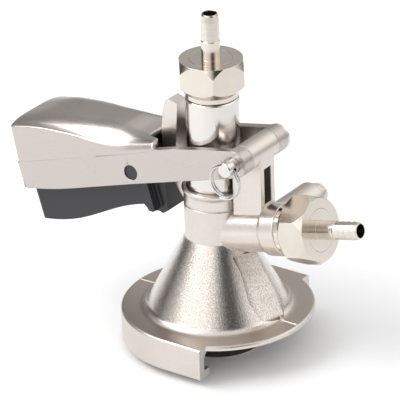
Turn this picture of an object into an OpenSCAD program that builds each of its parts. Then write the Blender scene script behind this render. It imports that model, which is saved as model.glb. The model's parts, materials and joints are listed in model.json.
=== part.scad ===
// Keg coupler of the sliding kind, in millimetres.
// A lever lifts and lowers a probe in a cast body that slides on to the keg's neck.
// Origin: on the probe's axis, in the plane of the skirt's lower edge.
// +Z runs up the probe, +X to the open side of the slide, +Y along the hinge pin.

/* [Skirt] */
// Outer radius of the skirt and its flange
skirt_r = 45.2; // [43:0.1:50]
// Height from the skirt's lower edge to the flange's top
skirt_h = 15.6; // [14:0.1:20]
// Thickness of the skirt's wall
skirt_wall = 3.8; // [3:0.1:4.5]
// Thickness of the flange plate
plate_t = 2.2; // [1.8:0.1:3]
// Distance from the axis to the wall ends on the open side
mouth_x = 20.7; // [15:0.1:28]
// Width of the lip that grips the keg
lip_w = 4; // [2.5:0.1:5]
// Height of the lip
lip_h = 4; // [3:0.1:5]

/* [Cone and neck] */
// Radius of the cone at the flange's top
cone_foot_r = 34.1; // [31:0.1:36]
// Radius of the fillet between cone and flange
cone_fillet = 5; // [2:0.1:6]
// Wall thickness of the cone
cone_wall = 3.3; // [2.5:0.1:4.5]
// Height at which the neck starts
neck_foot_z = 51.4; // [49:0.1:54]
// Radius of the neck
neck_r = 14.4; // [14.1:0.1:15]
// Radius of the neck's rim
rim_r = 15.2; // [15:0.1:16.4]
// Height of the neck's rim
rim_z = 76.5; // [75:0.1:79]
// Height of the fine groove round the neck
groove_z = 68.2; // [66:0.1:71]

/* [Probe] */
// Radius of the probe's polished upper part
probe_r = 12.4; // [12:0.1:12.6]
// Height at which the upper part starts
probe_step_z = 56; // [54:0.1:57]
// Radius of the probe's lower tube
probe_tube_r = 9.5; // [8:0.1:10.5]
// Radius of the bore through the probe
probe_bore_r = 4.2; // [3.5:0.1:4.6]
// Radius of the rubber seal on the probe's foot
seal_r = 20.8; // [19:0.1:22]
// Thickness of the seal
seal_t = 5.4; // [4:0.1:6]
// How far the seal's retainer stands below the skirt when the lever is down
foot_drop = 3.2; // [2.5:0.1:4]
// Cord thickness of the probe's O-rings
oring_cord = 1.8; // [1.5:0.1:2]

/* [Outlets] */
// Size of the union nuts across the flats
nut_af = 29; // [28:0.5:30]
// Length of a union nut
nut_len = 18.3; // [17.5:0.1:20]
// Height of the beer nut's top face
beer_face_z = 138.9; // [138:0.1:142]
// Turn of the beer nut's corners
beer_nut_turn = 7.7; // [0:0.1:60]
// Tilt of the gas outlet above the horizontal
port_tilt = 13.4; // [8:0.1:18]
// Height at which the outlet's axis meets the probe's axis
port_z = 53.6; // [52:0.1:55]
// Distance along the outlet to the gas nut's outer face
gas_face_s = 59.6; // [59:0.1:64]
// Turn of the gas nut's corners
gas_nut_turn = -2.5; // [-30:0.1:30]
// Radius of a hose tail's stem
stem_r = 4.35; // [4:0.05:4.8]
// Length of a hose tail above its nut
stem_len = 21.8; // [19:0.1:26]
// Number of barbs on a hose tail
barbs = 4; // [3:1:5]

/* [Relief valve] */
// Distance of the relief boss from the probe's axis
relief_x = 27.5; // [26.5:0.1:28]
// Radius of the relief boss
relief_r = 8; // [7.6:0.1:8.4]
// Distance of the boss's end from the middle plane
relief_end_y = 38.9; // [37:0.1:42]

/* [Hinge] */
// Distance of the lever's hinge from the probe's axis
hinge_x = 23; // [22.6:0.1:24]
// Height of the lever's hinge
hinge_z = 98.1; // [97:0.1:100]
// Radius of the hinge pin
hinge_pin_r = 3.5; // [3:0.1:3.8]
// Radius of the hub and of the lever's eyes
eye_r = 6.5; // [6:0.1:6.8]
// Half the length of the hub on the body
hub_half = 10.2; // [9:0.1:11]
// Half the width of the hinge post
post_half = 5.5; // [5:0.1:6.5]

/* [Latch post] */
// Radius of the post's outer face about the hinge
latch_r = 49; // [48.5:0.1:49.3]
// Half the width of the latch post
latch_half = 4; // [3.5:0.1:4.5]
// Height of the latch post's top
latch_z = 115; // [112:0.1:117]

/* [Lever] */
// Angle of the lever below the horizontal at rest
lever_droop = 16.5; // [15:0.1:18]
// How far the lever lifts
lever_lift = 36; // [30:0.5:38]
// Length from the hinge to the lever's end
lever_len = 126; // [122:0.5:132]
// Half the width over the two arms
arm_half = 17.3; // [17:0.1:18]
// Half the width of the hood's end
hood_half = 20; // [19:0.1:22]
// Thickness of the lever's sides
arm_t = 3.7; // [3.2:0.1:3.7]
// Thickness of the hood's roof
roof_t = 3; // [2:0.1:3.4]
// Height of the hood's edge near the arms
hood_low = 12.8; // [12:0.1:14]
// Height of the hood's edge at its end
hood_high = 26.2; // [24:0.1:29]

/* [Trigger] */
// Distance from the latch post's outer face to the trigger's pivot
trigger_reach = 11.4; // [11:0.1:12.4]
// Radius of the trigger's stub axles
stub_r = 3.6; // [3.2:0.1:3.8]
// Thickness of the trigger's walls
trigger_wall = 2.5; // [2:0.1:3]
// Half the width of the trigger's tail
trigger_half = 15.6; // [15:0.1:15.7]

/* [Split ring] */
// Mean radius of the split ring
ring_r = 7.8; // [7.4:0.1:9]
// Thickness of its wire
ring_wire = 1.1; // [0.9:0.1:1.3]

/* [Hidden] */
$fn = 96;
over = 1;             // overrun of every cut
fit = 0.08;           // radial clearance of a running fit
snug = 0.02;          // radial clearance of a pressed fit
gap = 0.3;            // space between pieces that move past each other

// Skirt and flange
edge_r = 1.2;                          // rounding of outer edges
groove_fillet = 4.5;                   // rounding under the flange
lip_round = 1;                         // rounding behind the lip
lip_in_r = skirt_r - skirt_wall - lip_w;
ridge_h = 0.35;                        // height of the casting's parting ridge
ridge_half = 0.4;

// Cone and neck
cone_tilt = atan((cone_foot_r - neck_r) / (neck_foot_z - skirt_h));
function cone_at(z) = cone_foot_r - (z - skirt_h) * tan(cone_tilt);
fillet_x = cone_at(skirt_h + cone_fillet) + cone_fillet / cos(cone_tilt);
fillet_end_z = skirt_h + cone_fillet * (1 - sin(cone_tilt));   // where the fillet meets the cone
chamber_in = cone_wall / cos(cone_tilt);
bore_r = probe_r + fit;
chamber_top_z = skirt_h + (cone_foot_r - chamber_in - bore_r) / tan(cone_tilt);
groove_w = 0.6;
rim_h = 1.6;
rim_flare_r = 13.6;
rim_flare_h = 1.5;

// Gas outlet, measured along its axis from the probe's axis
port_base_r = 10.5;
collar_r = 12.2;
collar_len = 10;
collar_round = 2.4;
gas_back_s = gas_face_s - nut_len;
gas_bore_r = 7.2;
gas_bore_len = 19;
gas_way_r = 4;
gas_way_s = 17;
drop_r = 2;                            // small way from the outlet down to the cone
drop_x = 12.2;
drop_z = 43;

// Union nuts and hose tails, measured outward from the nut's face
nut_corner = nut_af / 2 / cos(30);
nut_face_r = 14.6;
nut_chamfer = 4.1;
nut_flat = 7.15;
nut_shoulder_r = 12.35;
nut_bore_r = 11.4;
nut_web = 3.6;
nut_spare = 0.3;
thread_r = nut_bore_r - fit;
thread_step = 1.8;                     // pitch of the thread on a spigot
thread_cut = 0.7;
tail_collar_r = 9.86;
tail_flange_r = 11;
tail_flange_t = 2;
tail_bore_r = 3.2;
tail_tip_r = 3.55;
barb_root_r = 3.9;
barb_edge_r = 4.3;
barb_first = 3.4;
barb_pitch = 3.07;
barb_runout = 0.5;
washer_r = 10.9;
washer_in_r = 5.5;
washer_t = 2.4;
thimble_flange_t = 1.4;
thimble_r = 6.6;
thimble_tip_r = 5.4;
thimble_len = 15;
thimble_wall = 1.1;
seat_drop = nut_web + tail_flange_t + washer_t;   // from a nut's face to its spigot's end
spigot_end_s = gas_face_s - seat_drop - thimble_flange_t;

// Probe
spigot_z = beer_face_z - seat_drop;
probe_top_z = beer_face_z - nut_len - gap;
cup_r = 7;
ball_r = 5;
ball_lift = 2;
cage_r = 7.8;
cage_t = 2;
cage_hole_r = 1.7;
cage_holes = 6;
cup_floor_z = spigot_z - cage_t - ball_lift - 2 * gap - ball_r
    - sqrt(pow(ball_r, 2) - pow(probe_bore_r, 2));
ball_z = spigot_z - cage_t - ball_lift - gap - ball_r;
retainer_t = 0.6;
foot_z = seal_t + retainer_t - foot_drop;   // top of the seal
foot_flange_r = 18;
foot_flange_t = 1.6;
oring_r = bore_r - snug - oring_cord / 2;
oring_low_z = probe_step_z + 1.4;
oring_pitch = 2.7;
groove_side = 0.2;

// Pins that carry the probe, in blind slots of the lever's arms
drive_r = 3;
drive_z = hinge_z - hinge_x * tan(lever_droop);
drive_end_y = 15.5;
drive_root_y = 8;
slot_gap = 0.4;
slot_r = drive_r + slot_gap;
slot_near = hinge_x;
slot_far = hinge_x / cos(max(lever_droop, lever_lift - lever_droop));
slot_depth = 2.2;

// Relief valve, measured along +Y
relief_z = port_z + relief_x * tan(port_tilt);
relief_bore_r = 5.6;
relief_seat_y = 22;
relief_way_r = 3;
relief_round = 1.5;
relief_seal_t = 1.2;
poppet_r = 4.8;
poppet_t = 2;
plug_t = 5;
plug_head_r = 6.6;
plug_head_t = 1.6;
relief_stem_r = 1.6;
knob_r = 5;
knob_t = 4.4;
knob_flutes = 20;
flute_r = 0.45;
plug_y = relief_end_y - plug_t;
knob_y = relief_end_y + plug_head_t + gap;
poppet_y = relief_seat_y + relief_seal_t;
relief_wire = 0.8;
relief_spring_turns = 6;

// Hinge post
post_in_x = 14;
post_out_x = hinge_x + eye_r;
post_foot_z = 56;
post_web = 4;
post_wall = 2.8;
recess_low_z = 74;
recess_top_z = hinge_z - eye_r;
recess_round = post_half - post_wall;

// Latch post
latch_in_x = 16.7;
latch_lean = 2.5;
latch_root_z = 66;
latch_foot_x = 12.9;
latch_bevel = 3.1;
latch_top_run = 4.1;                   // from the post's outer face to its top's edge
notch_deep = 2.5;
notch_wall = 0.4;
notch_half = latch_half - notch_wall;
notch_low_z = 80;
notch_high_z = 87;

// Lever, in its own plane: u runs from the hinge to the handle, w runs up
arm_low = 6.4;
arm_top_u_share = [0, 0.13, 0.262, 0.333];
arm_top_w_share = [1, 1.23, 1.43, 1.43];
tail_rise = 2.4;
tail_rise_u_share = 0.77;
hood_lead = 7;                         // roof ahead of the latch post's face
hood_front_u = latch_r - hood_lead;
hood_swell_u = 54;
crown_axis = 60;
end_rake = 2.5;
end_wall = 1.8;
corner_r = 3.5;
latch_room = 2;                        // space beside the latch post
roof_room = 3;                         // space behind it
front_notch_half = latch_half + latch_room;
front_notch_u = latch_r + roof_room;
bevel_w = 8.8;
bevel_tilt = 58;
bevel_yaw = 7.8;
bevel_end_u = 90;
eye_gap = 0.08;
eye_half = hub_half + eye_gap;
side_gap = 0.5;                        // between the trigger's walls and the arms

// Trigger
trigger_u = latch_r + trigger_reach;   // the pivot, from the hinge
trigger_w = -0.8;
trigger_top = 5;
trigger_lead = 0.4;                    // wall ahead of the stub axles
trigger_front_half = arm_half - arm_t - side_gap;
tail_gap = 1.4;
trigger_tail_u = lever_len - end_wall - tail_gap;
trigger_tail_step = 0.5;
trigger_step_w = -12;
trigger_corner = 2;
belly_mid = -20.4;
belly_swell = 2.6;
belly_throat = 4.6;                    // where the wave starts, behind the pivot
belly_throat_u = trigger_u + belly_throat;
belly_wave = 42;
belly_points = 14;
shell_low = -21.7;                     // the shell beside the nose
shell_rise = 0.9;
shell_slope = 2;
shell_end_u = belly_throat_u - stub_r;
nose_half = 9;
nose_gap = 0.8;
nose_reach = latch_r + nose_gap;
nose_len = belly_throat_u - nose_reach;
nose_depth = 24.4;
nose_u_share = [-0.046, 0.145, 0.368, 0.487, 0.599, 0.757, 0.888];
nose_w_share = [0.348, 0.955, 1, 0.947, 0.939, 0.967, 0.939];
nose_top_share = 0.164;
rib_t = 0.8;
rib_h = 1.2;
rib_first = 3.8;
rib_pitch = 2.4;
rib_low = -20.5;
rib_len = 14;
stub_end = arm_half - side_gap;
stub_fit = 0.06;
spring_u_share = 0.378;
spring_u = trigger_u + (trigger_tail_u - trigger_u) * spring_u_share;
spring_r = 4;
spring_wire = 1;
spring_turns = 9;
spring_boss_r = 2.6;
spring_boss_h = 4;

// Hinge pin and split ring
pin_head_r = 6.2;
pin_head_t = 1.6;
pin_near_y = -25;
pin_washer_t = 0.8;
pin_chamfer = 0.5;
ring_y = -21.5;
ring_hole_r = 1.8;
ring_turns = 2;
ring_step = 1.55;                      // from one turn of the ring to the next
ring_twist = 15;                       // turn of the cross hole about the pin
ring_slack = 0.4;                      // how far the ring hangs below the hole's middle

// Helper shapes
function smooth(t) = t < 0 ? 0 : t > 1 ? 1 : t * t * (3 - 2 * t);
function arc(c, r, a0, a1, n) = [for (i = [0:n]) let (a = a0 + (a1 - a0) * i / n) c + r * [cos(a), sin(a)]];

// What is left of a square corner at the origin outside a rounding of radius r
module corner(r) {
    difference() {
        translate([-over, -over]) square(r + over);
        translate([r, r]) circle(r);
    }
}

// A bar of half width half along Y, from an outline in X and Z
module across(half) {
    rotate([90, 0, 0]) linear_extrude(2 * half, center = true) children();
}

// A tube along a list of points, with flat ends; sides is the number of its faces round
module swept_tube(path, r, sides) {
    n = len(path);
    function along(i) = let (a = path[max(i - 1, 0)], b = path[min(i + 1, n - 1)]) (b - a) / norm(b - a);
    function flat(i, up) = let (t = along(i), s = cross(up, t)) s / norm(s);
    up = [0, 0, 1];
    rings = [for (i = [0:n - 1]) let (t = along(i), s = flat(i, up), v = cross(t, s))
        for (k = [0:sides - 1]) path[i] + r * (s * cos(360 * k / sides) + v * sin(360 * k / sides))];
    walls = [for (i = [0:n - 2], k = [0:sides - 1]) let (a = i * sides + k, b = i * sides + (k + 1) % sides)
        each [[b, a, a + sides], [b, a + sides, b + sides]]];
    caps = [[for (k = [0:sides - 1]) k], [for (k = [sides - 1:-1:0]) (n - 1) * sides + k]];
    polyhedron(rings, concat(walls, caps), convexity = 10);
}

// Points of a coil about Z
function coil(r, pitch, turns, steps) = [for (i = [0:turns * steps])
    [r * cos(360 * i / steps), r * sin(360 * i / steps), pitch * i / steps]];

// Frames: the gas outlet, the lever and the relief valve
module in_port() { translate([0, 0, port_z]) rotate([0, 90 - port_tilt, 0]) children(); }
module in_lever() {
    translate([hinge_x, 0, hinge_z]) rotate([0, -lever_droop, 0]) mirror([1, 0, 0]) children();
}
module in_relief() { translate([relief_x, 0, relief_z]) rotate([-90, 0, 0]) children(); }

// Cast body

// Section of the skirt: radius across, height up
module skirt_section() {
    difference() {
        translate([lip_in_r, 0]) square([skirt_r - lip_in_r, skirt_h]);
        translate([skirt_r, skirt_h]) rotate(180) corner(edge_r);
        translate([skirt_r, 0]) rotate(90) corner(edge_r);
        translate([lip_in_r, 0]) corner(lip_round);
        difference() {
            translate([lip_in_r - over, lip_h]) square([lip_w + over, skirt_h - plate_t - lip_h]);
            translate([skirt_r - skirt_wall, skirt_h - plate_t]) rotate(180) corner(groove_fillet);
            translate([skirt_r - skirt_wall, lip_h]) rotate(90) corner(lip_round);
        }
    }
}

module skirt() {
    rotate([0, 0, 90]) rotate_extrude(angle = 180) skirt_section();
    for (side = [1, -1]) scale([1, side, 1]) rotate([90, 0, 90]) linear_extrude(mouth_x) skirt_section();
    rotate_extrude() difference() {
        translate([0, skirt_h - plate_t]) square([skirt_r, plate_t]);
        translate([skirt_r, skirt_h]) rotate(180) corner(edge_r);
    }
    translate([0, -lip_in_r - over, skirt_h - plate_t]) cube([mouth_x, 2 * (lip_in_r + over), plate_t]);
}

// Outline of the cone, the neck and its rim, radius across and height up
module shell_section() {
    difference() {
        polygon([[0, skirt_h - plate_t / 2], [fillet_x, skirt_h - plate_t / 2], [fillet_x, skirt_h],
            [cone_at(fillet_end_z), fillet_end_z], [neck_r, neck_foot_z],
            [neck_r, rim_z - 2 * rim_h], [rim_r, rim_z - rim_h], [rim_r, rim_z], [0, rim_z]]);
        translate([fillet_x, skirt_h + cone_fillet]) circle(cone_fillet);
        translate([neck_r - groove_w / 2, groove_z - groove_w / 2]) square([groove_w, groove_w]);
        translate([rim_r, rim_z]) rotate(180) corner(rim_h / 2);
    }
}

module parting_ridge() {
    out = ridge_h / cos(cone_tilt);
    along = skirt_r - edge_r;
    across(ridge_half) polygon([[neck_r - over, neck_foot_z], [cone_at(neck_foot_z) + out, neck_foot_z],
        [cone_at(skirt_h + cone_fillet / 2) + out, skirt_h + cone_fillet / 2],
        [fillet_x, skirt_h + ridge_h], [along, skirt_h + ridge_h], [along, skirt_h - plate_t / 2],
        [cone_foot_r - over, skirt_h - plate_t / 2]]);
    across(ridge_half) polygon([[-cone_foot_r, skirt_h - plate_t / 2], [-cone_foot_r, skirt_h + ridge_h],
        [-along, skirt_h + ridge_h], [-along, skirt_h - plate_t / 2]]);
}

module gas_outlet() {
    in_port() {
        cylinder(r = port_base_r, h = gas_back_s - collar_len / 2);
        rotate_extrude() difference() {
            translate([0, gas_back_s - collar_len]) square([collar_r, collar_len]);
            translate([collar_r, gas_back_s - collar_len]) rotate(90) corner(collar_round);
            translate([collar_r, gas_back_s]) rotate(180) corner(collar_round / 4);
        }
        cylinder(r = thread_r - thread_cut, h = spigot_end_s);
        for (s = [gas_back_s + thread_step : thread_step : spigot_end_s - thread_step / 2])
            translate([0, 0, s - thread_step / 4]) cylinder(r = thread_r, h = thread_step / 2);
    }
    in_relief() rotate_extrude() difference() {
        square([relief_r, relief_end_y]);
        translate([relief_r, relief_end_y]) rotate(180) corner(relief_round);
    }
}

module hinge_post() {
    difference() {
        across(post_half) polygon([[post_in_x, post_foot_z], [post_out_x, post_foot_z], [post_out_x, hinge_z],
            [hinge_x - eye_r, hinge_z], [post_in_x, recess_top_z]]);
        translate([post_in_x + post_web, -recess_round, recess_low_z])
            cube([post_out_x, 2 * recess_round, recess_top_z - recess_low_z]);
    }
    translate([hinge_x, 0, hinge_z]) rotate([90, 0, 0]) cylinder(r = eye_r, h = 2 * hub_half, center = true);
}

module latch_post() {
    difference() {
        intersection() {
            translate([hinge_x, 0, hinge_z]) rotate([90, 0, 0])
                cylinder(r = latch_r, h = 2 * latch_half, center = true, $fn = 180);
            across(latch_half) polygon([
                [-latch_foot_x, latch_root_z - latch_bevel], [-latch_foot_x, rim_z - rim_h],
                [-latch_in_x - latch_lean, rim_z + latch_bevel], [-latch_in_x, latch_z - latch_bevel / 2],
                [hinge_x - latch_r + latch_top_run, latch_z],
                [hinge_x - latch_r, latch_z - latch_bevel], [hinge_x - latch_r - over, hinge_z],
                [hinge_x - latch_r - over, latch_root_z - latch_bevel]]);
        }
        difference() {
            translate([hinge_x - latch_r - over, -notch_half, notch_low_z])
                cube([latch_r, 2 * notch_half, notch_high_z - notch_low_z]);
            translate([hinge_x, 0, hinge_z]) rotate([90, 0, 0])
                cylinder(r = latch_r - notch_deep, h = 2 * latch_r, center = true);
        }
    }
}

module body_cuts() {
    // Chamber in the cone and bore for the probe
    rotate_extrude() polygon([[0, 0], [cone_at(skirt_h - plate_t) - chamber_in, 0],
        [cone_at(skirt_h - plate_t) - chamber_in, skirt_h - plate_t], [bore_r, chamber_top_z],
        [bore_r, rim_z - rim_flare_h], [rim_flare_r, rim_z + over], [0, rim_z + over]]);
    // Gas way
    in_port() {
        translate([0, 0, spigot_end_s - gas_bore_len]) cylinder(r = gas_bore_r, h = gas_bore_len + over);
        translate([0, 0, gas_way_s]) cylinder(r = gas_way_r, h = gas_face_s - gas_way_s - nut_web);
    }
    way_x = (gas_way_s + gas_way_r) * cos(port_tilt);
    way_z = port_z + (gas_way_s + gas_way_r) * sin(port_tilt);
    translate([drop_x, 0, drop_z]) rotate([0, atan2(way_x - drop_x, way_z - drop_z), 0])
        cylinder(r = drop_r, h = norm([way_x - drop_x, way_z - drop_z]), $fn = 32);
    // Relief valve
    in_relief() {
        translate([0, 0, relief_seat_y]) cylinder(r = relief_bore_r, h = relief_end_y);
        cylinder(r = relief_way_r, h = relief_end_y, $fn = 48);
    }
    // Hinge pin
    translate([hinge_x, 0, hinge_z]) rotate([90, 0, 0])
        cylinder(r = hinge_pin_r + snug, h = 2 * (hub_half + over), center = true);
}

module coupler_body() {
    color("silver") difference() {
        union() {
            skirt();
            rotate_extrude() shell_section();
            parting_ridge();
            gas_outlet();
            hinge_post();
            latch_post();
        }
        body_cuts();
    }
}

// Probe and what it carries

module probe() {
    color("gainsboro") difference() {
        union() {
            rotate_extrude() polygon([[0, retainer_t - foot_drop], [probe_tube_r, retainer_t - foot_drop],
                [probe_tube_r, foot_z], [foot_flange_r, foot_z], [foot_flange_r, foot_z + foot_flange_t / 2],
                [foot_flange_r - foot_flange_t / 2, foot_z + foot_flange_t],
                [probe_tube_r, foot_z + foot_flange_t],
                [probe_tube_r, probe_step_z - (probe_r - probe_tube_r)], [probe_r - fit, probe_step_z],
                [probe_r, probe_step_z + fit], [probe_r, probe_top_z - edge_r / 2],
                [probe_r - edge_r / 2, probe_top_z],
                [thread_r - thread_cut, probe_top_z], [thread_r - thread_cut, spigot_z], [0, spigot_z]]);
            for (z = [probe_top_z + thread_step : thread_step : spigot_z - thread_step / 2])
                translate([0, 0, z - thread_step / 4]) cylinder(r = thread_r, h = thread_step / 2);
        }
        translate([0, 0, -foot_drop - over]) cylinder(r = probe_bore_r, h = spigot_z + foot_drop + 2 * over);
        translate([0, 0, cup_floor_z]) cylinder(r = cup_r, h = spigot_z);
        translate([0, 0, spigot_z - cage_t]) cylinder(r = cage_r + snug, h = cage_t + over);
        for (i = [0, 1]) translate([0, 0, oring_low_z + i * oring_pitch]) rotate_extrude()
            translate([oring_r - oring_cord / 2 - snug, -oring_cord / 2 - groove_side])
                square([oring_cord * 2, oring_cord + 2 * groove_side]);
        for (side = [-1, 1]) translate([0, side * drive_root_y, drive_z]) rotate([-side * 90, 0, 0])
            cylinder(r = drive_r + snug, h = probe_r);
    }
}

module drive_pins() {
    color("lightgray") for (side = [-1, 1]) translate([0, side * drive_root_y, drive_z])
        rotate([-side * 90, 0, 0]) cylinder(r = drive_r, h = drive_end_y - drive_root_y);
}

module probe_orings() {
    color("black") for (i = [0, 1]) translate([0, 0, oring_low_z + i * oring_pitch])
        rotate_extrude() translate([oring_r, 0]) circle(oring_cord / 2, $fn = 24);
}

module probe_seal() {
    color("#202022") rotate_extrude() difference() {
        translate([probe_tube_r + snug, foot_z - seal_t]) square([seal_r - probe_tube_r - snug, seal_t]);
        translate([seal_r, foot_z]) rotate(180) corner(edge_r);
    }
}

module seal_retainer() {
    hole_r = probe_bore_r + 2 * edge_r;
    color("lightgray") rotate_extrude() difference() {
        translate([hole_r, -foot_drop]) square([seal_r + snug - hole_r, retainer_t]);
        translate([seal_r + snug, -foot_drop]) rotate(90) corner(retainer_t / 2);
    }
}

module beer_ball() { color("whitesmoke") translate([0, 0, ball_z]) sphere(ball_r, $fn = 48); }

module ball_cage() {
    color("white") translate([0, 0, spigot_z - cage_t]) difference() {
        cylinder(r = cage_r, h = cage_t);
        for (i = [0:cage_holes - 1]) rotate([0, 0, 360 * i / cage_holes])
            translate([cage_r - 2 * cage_hole_r, 0, -over])
                cylinder(r = cage_hole_r, h = cage_t + 2 * over, $fn = 24);
    }
}

// Unions, drawn from the nut's outer face at the origin, outward along Z

module washer_ring() {
    translate([0, 0, -nut_web - tail_flange_t - washer_t]) difference() {
        cylinder(r = washer_r, h = washer_t);
        translate([0, 0, -over]) cylinder(r = washer_in_r, h = washer_t + 2 * over);
    }
}

module union_nut(turn) {
    reach = nut_corner + nut_spare;
    front = nut_chamfer * (reach - nut_face_r) / (nut_corner - nut_face_r);
    back = nut_chamfer + nut_flat;
    difference() {
        rotate([180, 0, 0]) intersection() {
            rotate_extrude() polygon([[0, 0], [nut_face_r, 0], [reach, front], [reach, back - nut_spare],
                [nut_shoulder_r, back + nut_corner - nut_shoulder_r], [nut_shoulder_r, nut_len - edge_r / 2],
                [nut_shoulder_r - edge_r / 2, nut_len], [0, nut_len]]);
            rotate([0, 0, -turn]) cylinder(r = nut_corner, h = nut_len, $fn = 6);
        }
        translate([0, 0, -nut_len - over]) cylinder(r = nut_bore_r, h = nut_len - nut_web + over);
        translate([0, 0, -nut_len]) cylinder(r = tail_collar_r + fit, h = nut_len + over);
    }
}

module tailpiece() {
    last = stem_len - barb_first - (barbs - 1) * barb_pitch;
    rotate_extrude() polygon(concat(
        [[tail_bore_r, -nut_web - tail_flange_t], [tail_flange_r, -nut_web - tail_flange_t],
         [tail_flange_r, -nut_web], [tail_collar_r, -nut_web], [tail_collar_r, 0],
         [stem_r, 0], [stem_r, last - barb_runout], [barb_root_r, last]],
        [for (i = [0:barbs - 1]) let (z = last + i * barb_pitch)
            each [[barb_edge_r, z], [i < barbs - 1 ? barb_root_r : tail_tip_r + edge_r / 4,
                i < barbs - 1 ? z + barb_pitch : stem_len - edge_r / 2]]],
        [[tail_tip_r, stem_len], [tail_bore_r, stem_len]]));
}

module beer_frame() { translate([0, 0, beer_face_z]) children(); }
module gas_frame() { in_port() translate([0, 0, gas_face_s]) children(); }

module beer_nut() { color("gainsboro") beer_frame() union_nut(beer_nut_turn); }
module beer_tailpiece() { color("silver") beer_frame() tailpiece(); }
module beer_washer() { color("red") beer_frame() washer_ring(); }
module gas_nut() { color("gainsboro") gas_frame() union_nut(gas_nut_turn); }
module gas_tailpiece() { color("silver") gas_frame() tailpiece(); }
module gas_washer() { color("red") gas_frame() washer_ring(); }

// Flanged rubber thimble that lets gas in and keeps beer out of the gas line
module gas_check_valve() {
    color("white") gas_frame() translate([0, 0, -seat_drop]) rotate_extrude() difference() {
        polygon([[0, -thimble_flange_t - thimble_len], [thimble_tip_r, -thimble_flange_t - thimble_len],
            [thimble_r, -thimble_flange_t], [washer_r, -thimble_flange_t], [washer_r, 0], [0, 0]]);
        polygon([[0, -thimble_flange_t - thimble_len + thimble_wall],
            [thimble_tip_r - thimble_wall, -thimble_flange_t - thimble_len + thimble_wall],
            [thimble_r - thimble_wall, over], [0, over]]);
    }
}

// Relief valve

module relief_seal() {
    color("#202022") in_relief() translate([0, 0, relief_seat_y]) difference() {
        cylinder(r = poppet_r - gap, h = relief_seal_t);
        translate([0, 0, -over]) cylinder(r = relief_stem_r / 2, h = relief_seal_t + 2 * over, $fn = 24);
    }
}

module relief_poppet() {
    color("goldenrod") in_relief() {
        translate([0, 0, poppet_y]) cylinder(r = poppet_r, h = poppet_t);
        translate([0, 0, poppet_y]) cylinder(r = relief_stem_r, h = knob_y + knob_t / 2 - poppet_y, $fn = 32);
    }
}

module relief_spring() {
    low = poppet_y + poppet_t + gap / 2 + relief_wire / 2;
    high = plug_y - gap / 2 - relief_wire / 2;
    pitch = (high - low) / relief_spring_turns;
    echo(relief_spring_gap = pitch - relief_wire);
    color("silver") in_relief() translate([0, 0, low])
        swept_tube(coil(poppet_r - 2 * relief_wire + gap, pitch, relief_spring_turns, 8), relief_wire / 2, 6);
}

module relief_plug() {
    color("gainsboro") in_relief() difference() {
        union() {
            translate([0, 0, plug_y]) cylinder(r = relief_bore_r - snug, h = plug_t);
            translate([0, 0, relief_end_y]) cylinder(r = plug_head_r, h = plug_head_t);
        }
        translate([0, 0, plug_y - over])
            cylinder(r = relief_stem_r + fit, h = plug_t + plug_head_t + 2 * over, $fn = 32);
    }
}

module relief_knob() {
    color("gainsboro") in_relief() translate([0, 0, knob_y]) difference() {
        rotate_extrude() difference() {
            square([knob_r, knob_t]);
            translate([knob_r, knob_t]) rotate(180) corner(knob_t / 6);
        }
        translate([0, 0, -over]) cylinder(r = relief_stem_r + snug, h = knob_t / 2 + over, $fn = 32);
        for (i = [0:knob_flutes - 1]) rotate([0, 0, 360 * i / knob_flutes])
            translate([knob_r, 0, knob_t / 5]) cylinder(r = flute_r, h = knob_t, $fn = 16);
    }
}

// Lever, trigger and hinge

function crease(u) = hood_low
    + (hood_high - hood_low) * smooth((u - hood_swell_u) / (lever_len - hood_swell_u));
function crown_r(u) = norm([crease(u) + crown_axis, arm_half]);
function end_at(w) = lever_len - end_rake * (w + arm_low - tail_rise) / (hood_high + arm_low - tail_rise);

// The lever's plan: inset is taken off its sides, back off its end
module lever_plan(inset, back, round) {
    half = hood_half - inset;
    tail = lever_len - back;
    one = concat([[-2 * eye_r, arm_half - inset], [trigger_u, arm_half - inset]],
        [for (p = arc([tail - round, half - round], round, 0, 90, 6)) p]);
    side = concat([one[0], one[1]], [for (i = [len(one) - 1:-1:2]) one[i]]);
    polygon(concat(side, [for (i = [len(side) - 1:-1:0]) [side[i][0], -side[i][1]]]));
}

// A revolve about the handle's length that gives the hood its crown
module crown(inset) {
    steps = 14;
    front = -2 * eye_r;
    translate([0, 0, -crown_axis]) rotate([0, 90, 0]) rotate_extrude($fn = 120) polygon(concat([[0, front],
        [crown_r(front) - inset, front]],
        [for (i = [0:steps]) let (u = hood_swell_u + (lever_len - hood_swell_u) * i / steps)
            [crown_r(u) - inset, u]],
        [[crown_r(lever_len) - inset, lever_len + over], [0, lever_len + over]]));
}

// Side outline of the whole lever with its arms
module lever_side() {
    rise_u = lever_len * tail_rise_u_share;
    top = crown_axis;
    polygon(concat(
        [[0, -arm_low]],
        [for (i = [0:4]) [rise_u + (lever_len - rise_u) * i / 4, -arm_low + tail_rise * pow(i / 4, 2)]],
        [[lever_len - end_rake, hood_high], [lever_len - end_rake, top], [hood_front_u, top]],
        [for (i = [3:-1:0]) [lever_len * arm_top_u_share[i], eye_r * arm_top_w_share[i]]]));
}

module lever_bevel() {
    for (side = [1, -1]) scale([1, side, 1]) intersection() {
        translate([hood_front_u, 0, 0]) cube([bevel_end_u - hood_front_u, 2 * arm_half, crown_axis]);
        translate([hood_front_u, arm_half, bevel_w]) rotate([0, 0, bevel_yaw]) rotate([-bevel_tilt, 0, 0])
            translate([-lever_len / 2, -lever_len / 2, 0]) cube([lever_len * 1.5, lever_len, crown_axis]);
    }
}

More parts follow.
